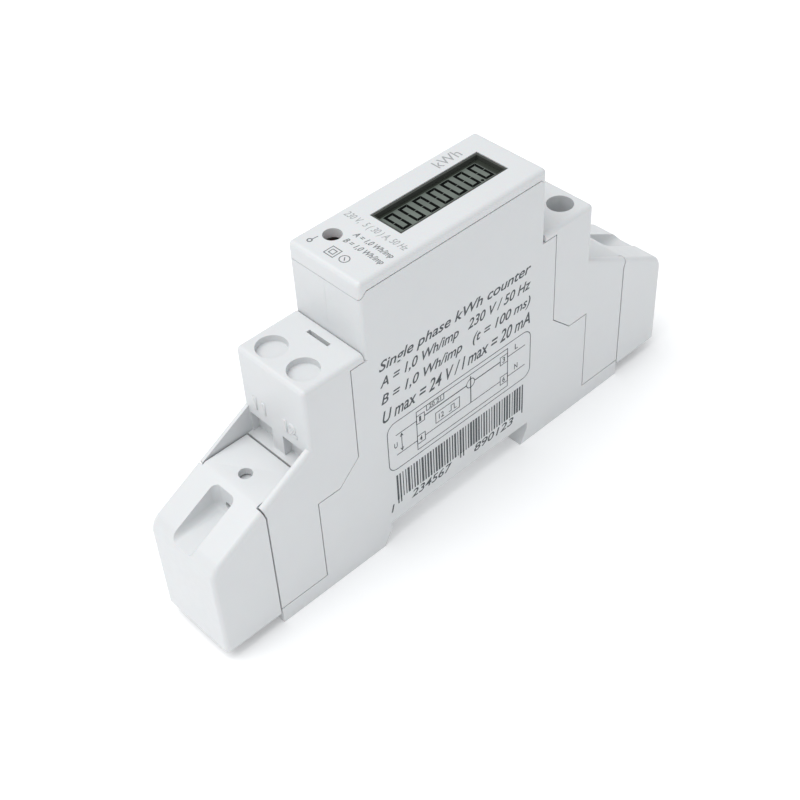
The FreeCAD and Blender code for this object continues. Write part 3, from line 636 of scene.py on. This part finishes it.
def ribbon(points, width, closed=False):
    """Flat printed line of even width through (x, y) points, with mitred corners."""
    shape = bmesh.new()
    count = len(points)
    corners = []
    for index, point in enumerate(points):
        here = Vector(point)
        before = Vector(points[index - 1]) if closed or index else None
        after = Vector(points[(index + 1) % count]) if closed or index < count - 1 else None
        first = (here - before).normalized() if before is not None else (after - here).normalized()
        last = (after - here).normalized() if after is not None else first
        normal = Vector((-first.y - last.y, first.x + last.x)).normalized()
        reach = width / 2 / max(0.3, normal.dot(Vector((-first.y, first.x))))
        rows = []
        for side in (-1, 1):
            spot = here + normal * reach * side
            rows.append([shape.verts.new((spot.x, spot.y, z)) for z in (-INK_ROOT, INK)])
        corners.append(rows)
    spans = range(count if closed else count - 1)
    for index in spans:
        (a0, a1), (b0, b1) = corners[index]
        (c0, c1), (d0, d1) = corners[(index + 1) % count]
        for quad in ((a1, c1, d1, b1), (a0, b0, d0, c0), (a0, c0, c1, a1), (b0, b1, d1, d0)):
            shape.faces.new(quad)
    if not closed:
        for (a0, a1), (b0, b1) in (corners[0], corners[-1]):
            shape.faces.new((a0, a1, b1, b0))
    return as_mesh(shape, "ribbon")


def arc(x, y, radius, start, end, steps):
    """Points on an arc, from one angle to another in degrees."""
    angles = [math.radians(start + (end - start) * step / steps) for step in range(steps + 1)]
    return [(x + radius * math.cos(angle), y + radius * math.sin(angle)) for angle in angles]


def rounded_rectangle(x0, y0, x1, y1, radius, steps=6):
    corners = ((x1, y1, 0), (x0, y1, 90), (x0, y0, 180), (x1, y0, 270))
    points = []
    for x, y, start in corners:
        inward_x = x - radius if x == x1 else x + radius
        inward_y = y - radius if y == y1 else y + radius
        points += arc(inward_x, inward_y, radius, start, start + 90, steps)
    return points


def rectangle(x0, y0, x1, y1):
    return [(x0, y0), (x1, y0), (x1, y1), (x0, y1)]


def joined(name, parts):
    """One mesh from several (mesh, matrix) pairs."""
    shape = bmesh.new()
    for mesh, matrix in parts:
        mesh.transform(matrix)
        shape.from_mesh(mesh)
        bpy.data.meshes.remove(mesh)
    whole = bpy.data.meshes.new(name)
    bmesh.ops.remove_doubles(shape, verts=shape.verts, dist=MERGE / 10)
    shape.to_mesh(whole)
    shape.free()
    return whole


# ---------------------------------------------------------------- print on the flat side
def side_lettering():
    """Four slanted lines of general wording and units."""
    left, width, height = -19.4 * MM, 38.1 * MM, 2.9 * MM
    lines = (
        ("Single phase kWh counter", 42.95 * MM),
        ("A = 1,0 Wh/imp   230 V / 50 Hz", 39.2 * MM),
        ("B = 1,0 Wh/imp   (t = 100 ms)", 35.25 * MM),
        ("U max = 24 V / I max = 20 mA", 31.35 * MM),
    )
    parts = [(lettering(text, width, height, 0.32, 0.012), side_frame(left, z)) for text, z in lines]
    install("side_lettering", joined("side_lettering", parts), "side_ink", "case", "case")


def wiring_diagram():
    """General connection diagram in a rounded frame."""
    line, heavy = 0.17 * MM, 0.26 * MM
    x0, x1, z0, z1 = -18.6 * MM, 18.95 * MM, 18.1 * MM, 29.85 * MM
    inner_left, inner_right = -11.4 * MM, 12.6 * MM
    live, neutral, low = 26.6 * MM, 21.6 * MM, 19.2 * MM
    coil_x, coil_radius = 2.6 * MM, 1.05 * MM
    box_side = 2.0 * MM
    strokes = [
        (rounded_rectangle(x0, z0, x1, z1, 2.0 * MM), line, True),
        (rectangle(inner_left, low, inner_right, z1 - 1.1 * MM), line, True),
        ([(x0 + 2.0 * MM, live), (inner_left, live)], line, False),
        ([(x0 + 2.0 * MM, neutral), (inner_left, neutral)], line, False),
        ([(inner_left + box_side, live), (coil_x - coil_radius, live)], heavy, False),
        ([(coil_x + coil_radius, live), (inner_right - box_side, live)], heavy, False),
        ([(inner_left + box_side, neutral), (inner_right - box_side, neutral)], line, False),
        ([(inner_right, live), (x1 - 1.5 * MM, live)], line, False),
        ([(inner_right, neutral), (x1 - 1.5 * MM, neutral)], line, False),
        (arc(coil_x, live, coil_radius, 0, 345, 23), line, True),
        ([(coil_x, live + 1.7 * MM), (coil_x, neutral)], heavy, False),
        (rectangle(-6.6 * MM, 22.6 * MM, -0.4 * MM, 25.2 * MM), line, True),
        (rectangle(-8.8 * MM, 27.4 * MM, -4.4 * MM, 28.75 * MM), line, True),
        ([(-3.2 * MM, 23.2 * MM), (-2.6 * MM, 23.2 * MM), (-2.6 * MM, 24.5 * MM),
          (-1.8 * MM, 24.5 * MM), (-1.8 * MM, 23.2 * MM), (-1.2 * MM, 23.2 * MM)], line, False),
        ([(x0 + 3.4 * MM, neutral + 0.4 * MM), (x0 + 3.4 * MM, live - 0.4 * MM)], line, False),
    ]
    for level in (live, neutral):
        half = box_side / 2
        strokes.append((rectangle(inner_left, level - half, inner_left + box_side, level + half),
                        line, True))
        strokes.append((rectangle(inner_right - box_side, level - half, inner_right, level + half),
                        line, True))
    for end in (-1, 1):
        tip = (live if end > 0 else neutral) - end * 0.4 * MM
        wing = tip - end * 0.7 * MM
        mid = x0 + 3.4 * MM
        strokes.append(([(mid - 0.35 * MM, wing), (mid, tip), (mid + 0.35 * MM, wing)], line, False))
    flat = side_frame(0, 0)
    parts = [(ribbon(points, width, closed), flat) for points, width, closed in strokes]
    labels = (
        ("1", -10.75, 25.95, 0.5), ("3", 11.2, 25.95, 0.7), ("4", -10.85, 20.95, 0.7),
        ("6", 11.2, 20.95, 0.7), ("L", 14.6, 27.2, 0.8), ("N", 14.5, 22.2, 0.9),
        ("U", -17.1, 23.5, 0.8), ("12", -5.8, 23.2, 1.3), ("20 21", -8.2, 27.6, 3.1),
    )
    for text, x, z, width in labels:
        parts.append((lettering(text, width * MM, 1.3 * MM if len(text) < 3 else 0.95 * MM, 0.0, 0.01),
                      side_frame(x * MM, z * MM)))
    install("wiring_diagram", joined("wiring_diagram", parts), "side_ink", "case", "case")


def bar_pattern():
    """Decorative row of bars with a plain run of digits under it."""
    left, pitch, count = -16.9 * MM, 0.72 * MM, 48
    low, high = 10.0 * MM, 16.5 * MM
    bars = grown("bars", bpy.data.meshes.new("bars"), bar_row, {
        "Count": count, "Pitch": pitch, "Narrow": 0.2 * MM, "Wide": 0.56 * MM,
        "Height": high - low, "Seed": 7, "Finish": finishes["side_ink"]})
    lift = Matrix.Translation((0, 0, (INK - INK_ROOT) / 2))
    parts = [(bars, side_frame(left, (low + high) / 2) @ lift)]
    for x in (left, left + pitch, -0.4 * MM, 0.4 * MM, left + pitch * (count - 1)):
        points = [(x, low - 1.1 * MM), (x, low + 0.5 * MM)]
        parts.append((ribbon(points, 0.3 * MM), side_frame(0, 0)))
    for text, x, width in (("1", -18.9, 0.9), ("234567", -13.6, 10.8), ("890123", 3.3, 11.2)):
        parts.append((lettering(text, width * MM, 1.9 * MM, 0.25, 0.01), side_frame(x * MM, 7.7 * MM)))
    install("bar_pattern", joined("bar_pattern", parts), "side_ink", "case", "case")


# ---------------------------------------------------------------- print on the front
def front_lettering():
    """Unit, general ratings, lamp sign and insulation sign on the bezel."""
    down, right = (0, -1, 0), (1, 0, 0)
    ratings = [
        (lettering("kWh", 5.8 * MM, 2.3 * MM), front_frame(9.5 * MM, 4.9 * MM)),
        (lettering("230 V,  5 ( 30 ) A, 50 Hz", 14.9 * MM, 1.9 * MM, 0.25),
         front_frame(-11.6 * MM, 7.3 * MM, down, right)),
    ]
    install("front_ratings", joined("front_ratings", ratings), "pale_ink", "case", "case")
    parts = [
        (lettering("A = 1,0 Wh/imp", 9.3 * MM, 1.6 * MM, 0.25, 0.01),
         front_frame(-14.4 * MM, 1.8 * MM, down, right)),
        (lettering("B = 1,0 Wh/imp", 9.3 * MM, 1.6 * MM, 0.25, 0.01),
         front_frame(-16.6 * MM, 1.8 * MM, down, right)),
    ]
    flat = front_frame(0, 0)
    line = 0.17 * MM
    mark_x, mark_y = -19.2 * MM, 0.8 * MM
    for half in (1.08 * MM, 0.52 * MM):
        square = rectangle(mark_x - half, mark_y - half, mark_x + half, mark_y + half)
        parts.append((ribbon(square, line, True), flat))
    circle_y = -2.05 * MM
    parts.append((ribbon(arc(mark_x, circle_y, 0.9 * MM, 0, 345, 23), line, True), flat))
    tick = [(mark_x - 0.35 * MM, circle_y - 0.3 * MM), (mark_x + 0.35 * MM, circle_y + 0.3 * MM)]
    parts.append((ribbon(tick, line), flat))
    sign_x, sign_y = -19.75 * MM, 6.0 * MM
    parts.append((ribbon(arc(sign_x, sign_y, 0.42 * MM, 0, 330, 11), 0.22 * MM, True), flat))
    parts.append((ribbon([(sign_x + 0.4 * MM, sign_y - 0.1 * MM), (-18.1 * MM, 5.75 * MM)], line), flat))
    install("front_lettering", joined("front_lettering", parts), "front_ink", "case", "case")


# ---------------------------------------------------------------- raised terminal numbers
def raised_number(text, width, height, relief):
    """Outline figures that stand off the moulding like thin welts."""
    font = bpy.data.curves.new("figure", "FONT")
    font.body = text
    font.fill_mode = "NONE"
    font.bevel_depth = FIGURE_WELT
    font.bevel_resolution = 2
    font.resolution_u = 5
    mesh = settled(linked("figure", font))
    points = [vertex.co for vertex in mesh.vertices]
    low = Vector((min(p.x for p in points), min(p.y for p in points), 0))
    high = Vector((max(p.x for p in points), max(p.y for p in points), 0))
    deep = relief / FIGURE_WELT
    fit = Matrix.Diagonal((width / (high.x - low.x), height / (high.y - low.y), deep, 1))
    mesh.transform(fit @ Matrix.Translation(-low))
    return mesh


def terminal_numbers():
    """Two figures over the wire windows of each terminal block, on the riser."""
    blocks = (
        ("blank_block_numbers", -1, ("11", "12")),
        ("pulse_block_numbers", 1, ("20", "21")),
    )
    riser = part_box("pulse_plus_cage")[1].x + RISER_FROM_CAGE
    for name, end, texts in blocks:
        across = (0, end, 0)
        parts = []
        for text, side in zip(texts, (-1, 1)):
            start = side * FIGURE_PLACE - FIGURE_WIDTH / 2
            origin = (end * riser, end * start, FIGURE_FOOT)
            figures = raised_number(text, FIGURE_WIDTH, FIGURE_HEIGHT, FIGURE_RELIEF)
            parts.append((figures, face_frame(origin, across, (0, 0, 1))))
        install(name, joined(name, parts), "case_white", "case", "case")


# ---------------------------------------------------------------- display
def display_panel():
    """Two glass plies and the film over them, in place of the plain glass."""
    low, high = glass_low, glass_high
    film = 0.16 * MM
    step = 0.5 * MM
    middle = (low.z + high.z) / 2
    plies = (
        (Vector((low.x, low.y, low.z)), Vector((high.x, high.y, middle - 0.02 * MM))),
        (Vector((low.x, low.y + step, middle)), Vector((high.x, high.y - step, high.z - film))),
    )
    shape = bmesh.new()
    for corner, opposite in plies:
        size = opposite - corner
        place = Matrix.Translation((corner + opposite) / 2) @ Matrix.Diagonal((*size, 1))
        bmesh.ops.create_cube(shape, size=1, matrix=place)
    mesh = bevelled("display_plies", as_mesh(shape, "plies"), 0.08 * MM)
    install("display_plies", mesh, "glass_edge", "case", "display_glass", "display_glass")

    corner = Vector((low.x + step, low.y + 2 * step, high.z - film))
    opposite = Vector((high.x - step, high.y - 2 * step, high.z))
    shape = bmesh.new()
    place = Matrix.Translation((corner + opposite) / 2) @ Matrix.Diagonal((*(opposite - corner), 1))
    bmesh.ops.create_cube(shape, size=1, matrix=place)
    mesh = bevelled("display_film", as_mesh(shape, "film"), 0.03 * MM)
    install("display_film", mesh, "display_face", "case", "display_glass")


def nought_segments():
    """Outlines of the six lit segments of a nought, lower left corner at zero."""
    width, height, stroke, gap = DIGIT_WIDTH, DIGIT_HEIGHT, DIGIT_STROKE, DIGIT_GAP
    middle = height / 2
    across = [(gap, 0), (width - gap, 0), (width - stroke - gap, stroke), (stroke + gap, stroke)]
    waist = middle - DIGIT_WAIST
    upright = [(0, gap), (stroke, stroke + gap), (stroke, waist - gap), (stroke / 2, waist),
               (0, waist - gap)]
    segments = []
    for turned in (False, True):
        level = [(x, height - y if turned else y) for x, y in across]
        segments.append(level)
        for far in (False, True):
            segments.append([(width - x if far else x, height - y if turned else y)
                             for x, y in upright])
    return segments


def zero_shape():
    """The six lit segments of a nought as thin plates."""
    shape = bmesh.new()
    for outline in nought_segments():
        add_plate(shape, outline)
    return as_mesh(shape, "nought")


def add_plate(shape, outline):
    """Thin flat plate with the given outline, added to a shape."""
    lower = [shape.verts.new((x, y, -INK_ROOT)) for x, y in outline]
    upper = [shape.verts.new((x, y, INK)) for x, y in outline]
    shape.faces.new(upper)
    shape.faces.new(lower[::-1])
    for index in range(len(outline)):
        after = (index + 1) % len(outline)
        shape.faces.new((lower[index], lower[after], upper[after], upper[index]))


def display_digits():
    """Seven noughts with a decimal point before the last."""
    row = grown("noughts", zero_shape(), even_row, {
        "Count": DIGIT_COUNT, "Pitch": DIGIT_PITCH, "Finish": finishes["digit_black"]})
    start = window_start + DIGIT_MARGIN
    flat = face_frame((start, DIGIT_LOW, glass_high.z), (1, 0, 0), (0, 1, 0))
    dot = bmesh.new()
    gap = (DIGIT_PITCH - DIGIT_WIDTH) / 2
    centre = (DIGIT_COUNT - 1) * DIGIT_PITCH - gap
    add_plate(dot, arc(centre, POINT_RADIUS, POINT_RADIUS, 0, 337.5, 15))
    parts = [(row, flat), (as_mesh(dot, "point"), flat)]
    install("display_digits", joined("display_digits", parts), "digit_black", "case", "display_glass")


def pulse_lamp():
    """Lamp body with its domed lens and a flange at its foot."""
    low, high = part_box("pulse_lamp")
    middle = (low + high) / 2
    flange = (high.x - low.x) / 2
    flange_height, edge = 1.0 * MM, 0.1 * MM
    radius = flange - 0.4 * MM
    height = high.z - low.z
    profile = [(0, 0), (flange - edge, 0), (flange, edge), (flange, flange_height - edge),
               (flange - edge, flange_height), (radius, flange_height)]
    dome_steps = 12
    for step in range(dome_steps + 1):
        angle = math.pi / 2 * step / dome_steps
        profile.append((radius * math.cos(angle), height - radius + radius * math.sin(angle)))
    mesh = as_mesh(lathe(profile), "lamp")
    mesh.transform(Matrix.Translation((middle.x, middle.y, low.z)))
    install("pulse_lamp_lens", mesh, "lamp_epoxy", "case", "lamp", "pulse_lamp")


# ---------------------------------------------------------------- clamp screws
def threaded_shank(radius, pitch, bottom, top):
    """Closed shank whose wall follows a right-handed thread."""
    around, along = 36, 8
    depth = pitch * THREAD_DEPTH_SHARE
    length = top - bottom
    rings = int(length / pitch * along)
    shape = bmesh.new()
    grid = []
    for ring in range(rings + 1):
        height = bottom + length * ring / rings
        row = []
        for index in range(around):
            share = index / around
            phase = ((height - bottom) / pitch - share) % 1
            ridge = 1 - abs(2 * phase - 1)
            taper = min(1, (height - bottom) / pitch)
            reach = radius - depth * (1 - ridge * taper)
            angle = 2 * math.pi * share
            row.append(shape.verts.new((reach * math.cos(angle), reach * math.sin(angle), height)))
        grid.append(row)
    for lower, upper in zip(grid, grid[1:]):
        for index in range(around):
            after = (index + 1) % around
            shape.faces.new((lower[index], lower[after], upper[after], upper[index]))
    shape.faces.new(grid[0][::-1])
    shape.faces.new(grid[-1])
    return as_mesh(shape, "shank")


def screw_head(radius, under, top, slot_width, slot_depth):
    """Cheese head with a rounded rim and a driving slot."""
    rim = 0.25 * MM
    profile = [(0, under), (radius - rim / 2, under), (radius, under + rim / 2)]
    for step in range(5):
        angle = math.pi / 2 * step / 4
        profile.append((radius - rim + rim * math.cos(angle), top - rim + rim * math.sin(angle)))
    profile.append((0, top))
    head = linked("head", as_mesh(lathe(profile), "head"))
    slot = bmesh.new()
    size = (2 * radius + MM, slot_width, 2 * slot_depth)
    bmesh.ops.create_cube(slot, size=1, matrix=Matrix.Translation((0, 0, top))
                          @ Matrix.Diagonal((*size, 1)))
    cutter = linked("slot", as_mesh(slot, "slot"))
    cut = head.modifiers.new("slot", "BOOLEAN")
    cut.object = cutter
    cut.operation = "DIFFERENCE"
    cut.solver = "EXACT"
    mesh = settled(head)
    bpy.data.objects.remove(cutter)
    return bevelled("head", mesh, 0.06 * MM)


def clamp_screws():
    """A slotted screw for each clamp, on the screw's own body."""
    for place in CLAMPS:
        node = place + "_screw"
        values = PULSE_SCREW if place.startswith("pulse") else MAIN_SCREW
        low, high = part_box(node)
        middle = (low + high) / 2
        head_radius = (high.x - low.x) / 2
        length = high.z - low.z
        under = length - values["head"]
        shank = threaded_shank(values["radius"], values["pitch"], 0, under + SHANK_OVERLAP)
        head = screw_head(head_radius, under, length, SLOT_WIDTH_SHARE * head_radius, values["slot"])
        spot = Matrix.Translation((middle.x, middle.y, low.z))
        mesh = joined(node, [(shank, spot), (head, spot)])
        install(place + "_clamp_screw", mesh, "zinc_steel", node + "_body", "steel", node)


# ---------------------------------------------------------------- rail spring
def clip_spring():
    """Coil spring behind the rail clip, which the real clip squeezes when pulled; here it stays at its
    CAD length on the case body.
    """
    low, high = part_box("rail_clip_spring")
    length = high.x - low.x - SPRING_WIRE
    radius = (high.y - low.y - SPRING_WIRE) / 2
    coil = grown("coil", bpy.data.meshes.new("coil"), wound_coil, {
        "Turns": SPRING_TURNS, "Coil Radius": radius, "Rise": length,
        "Wire Radius": SPRING_WIRE / 2, "Finish": finishes["spring_steel"]})
    middle = (low + high) / 2
    turn = Matrix.Rotation(math.pi / 2, 4, "Y")
    coil.transform(Matrix.Translation((low.x + SPRING_WIRE / 2, middle.y, middle.z)) @ turn)
    piece = install("clip_spring_coil", coil, "spring_steel", "case", "steel", "rail_clip_spring")
    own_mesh(piece)


# ---------------------------------------------------------------- moulded shells and inner parts
def shells():
    """The moulded pieces in their exact shape: their finish softens the corners."""
    mouldings = (
        ("near_case_half", "near_case_shell", "case_white"),
        ("far_case_half", "far_case_shell", "case_white"),
        ("front_bezel", "front_bezel_shell", "bezel_white"),
        ("blank_terminal_block", "blank_block_moulding", "case_white"),
        ("pulse_terminal_block", "pulse_block_moulding", "case_white"),
        ("blank_end_seal_cover", "blank_cover_moulding", "cover_white"),
        ("pulse_end_seal_cover", "pulse_cover_moulding", "cover_white"),
        ("rail_clip", "rail_clip_slider", "clip_grey"),
    )
    for node, name, finish in mouldings:
        mesh = shaded(name, copy_of(node))
        install(name, mesh, finish, nodes[node]["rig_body"], "case", node)


def inner_parts():
    """The electronics, bars, leads and clamp cages, each in its CAD shape with rounded edges."""
    softened = (
        ("display_frame", "display_surround", "frame_black", "display_frame", 0.06),
        ("display_reflector", "reflector_plate", "reflector_film", "reflector", 0.06),
        ("contact_strips", "zebra_strips", "strip_rubber", "rubber", 0.15),
        ("display_board", "display_board_plate", "board_mask", "board", 0.08),
        ("main_board", "main_board_plate", "board_mask", "board", 0.08),
        ("header_pins", "header_pin_row", "tinned", "tin", 0.08),
        ("metering_chip", "metering_chip_case", "chip_epoxy", "chip", 0.06),
        ("optocoupler", "optocoupler_case", "chip_epoxy", "chip", 0.06),
        ("microcontroller", "controller_chip_case", "chip_epoxy", "chip", 0.06),
        ("clock_crystal", "crystal_can", "tinned", "tin", 0.5),
        ("chip_resistors", "chip_resistor_group", "chip_epoxy", "chip", 0.05),
        ("film_capacitor", "film_capacitor_body", "film_yellow", "capacitor_film", 0.6),
        ("varistor", "varistor_disc", "varistor_blue", "varistor", 0.8),
        ("electrolytic_capacitor", "electrolytic_can", "sleeve_black", "capacitor_sleeve", 0.35),
        ("current_shunt", "shunt_strip", "copper", "copper", 0.08),
        ("line_in_bar", "line_in_bus", "copper", "copper", 0.12),
        ("line_out_bar", "line_out_bus", "copper", "copper", 0.12),
        ("neutral_bar", "neutral_bus", "copper", "copper", 0.12),
        ("pulse_plus_lead", "pulse_plus_wire", "tinned", "tin", 0.06),
        ("pulse_minus_lead", "pulse_minus_wire", "tinned", "tin", 0.06),
    )
    for node, name, finish, slot, width in softened:
        soften(node, name, finish, slot, width * MM)
    for place in CLAMPS:
        soften(place + "_cage", place + "_clamp_cage", "nickel_brass", "brass", 0.15 * MM)


# ---------------------------------------------------------------- stage
def studio_floor():
    half = 1.5
    shape = bmesh.new()
    bmesh.ops.create_grid(shape, x_segments=8, y_segments=8, size=half)
    mesh = as_mesh(shape, "floor", outward=False)
    mesh.materials.append(floor_finish)
    linked("studio_floor", mesh)


def softbox(name, power, size, place, aim):
    light = bpy.data.lights.new(name, "AREA")
    light.energy = power
    light.shape = "RECTANGLE"
    light.size, light.size_y = size
    lamp = linked(name, light)
    direction = Vector(aim) - Vector(place)
    turn = direction.to_track_quat("-Z", "Y").to_matrix().to_4x4()
    lamp.matrix_world = Matrix.Translation(place) @ turn


def lighting():
    target = (0, 0, 0.03)
    softbox("key_softbox", 7.0, (0.9, 0.9), (-0.35, 0.15, 0.95), target)
    softbox("fill_softbox", 0.1, (0.8, 0.5), (-0.9, -0.25, 0.35), target)
    world = bpy.data.worlds.new("studio")
    world.use_nodes = True
    background = world.node_tree.nodes["Background"]
    background.inputs["Color"].default_value = (0.97, 0.985, 1.0, 1)
    background.inputs["Strength"].default_value = 0.67
    scene.world = world
    scene.view_settings.view_transform = "Standard"


def camera():
    """Three-quarter view from the blank end, above the printed side."""
    eye = Vector((-131.9, -142.7, 202.6)) * MM
    heading, tilt, roll = math.radians(-41.11), math.radians(46.573), math.radians(-3.6)
    turn = Matrix.Rotation(heading, 4, "Z") @ Matrix.Rotation(tilt, 4, "X")
    lens = bpy.data.cameras.new("camera")
    lens.sensor_width = 36
    lens.lens = 62.56
    lens.clip_start = 0.01
    view = linked("camera", lens)
    view.matrix_world = Matrix.Translation(eye) @ turn @ Matrix.Rotation(roll, 4, "Z")
    scene.camera = view


shells()
inner_parts()
clamp_screws()
clip_spring()
display_panel()
display_digits()
pulse_lamp()
side_lettering()
wiring_diagram()
bar_pattern()
front_lettering()
terminal_numbers()
studio_floor()
lighting()
camera()
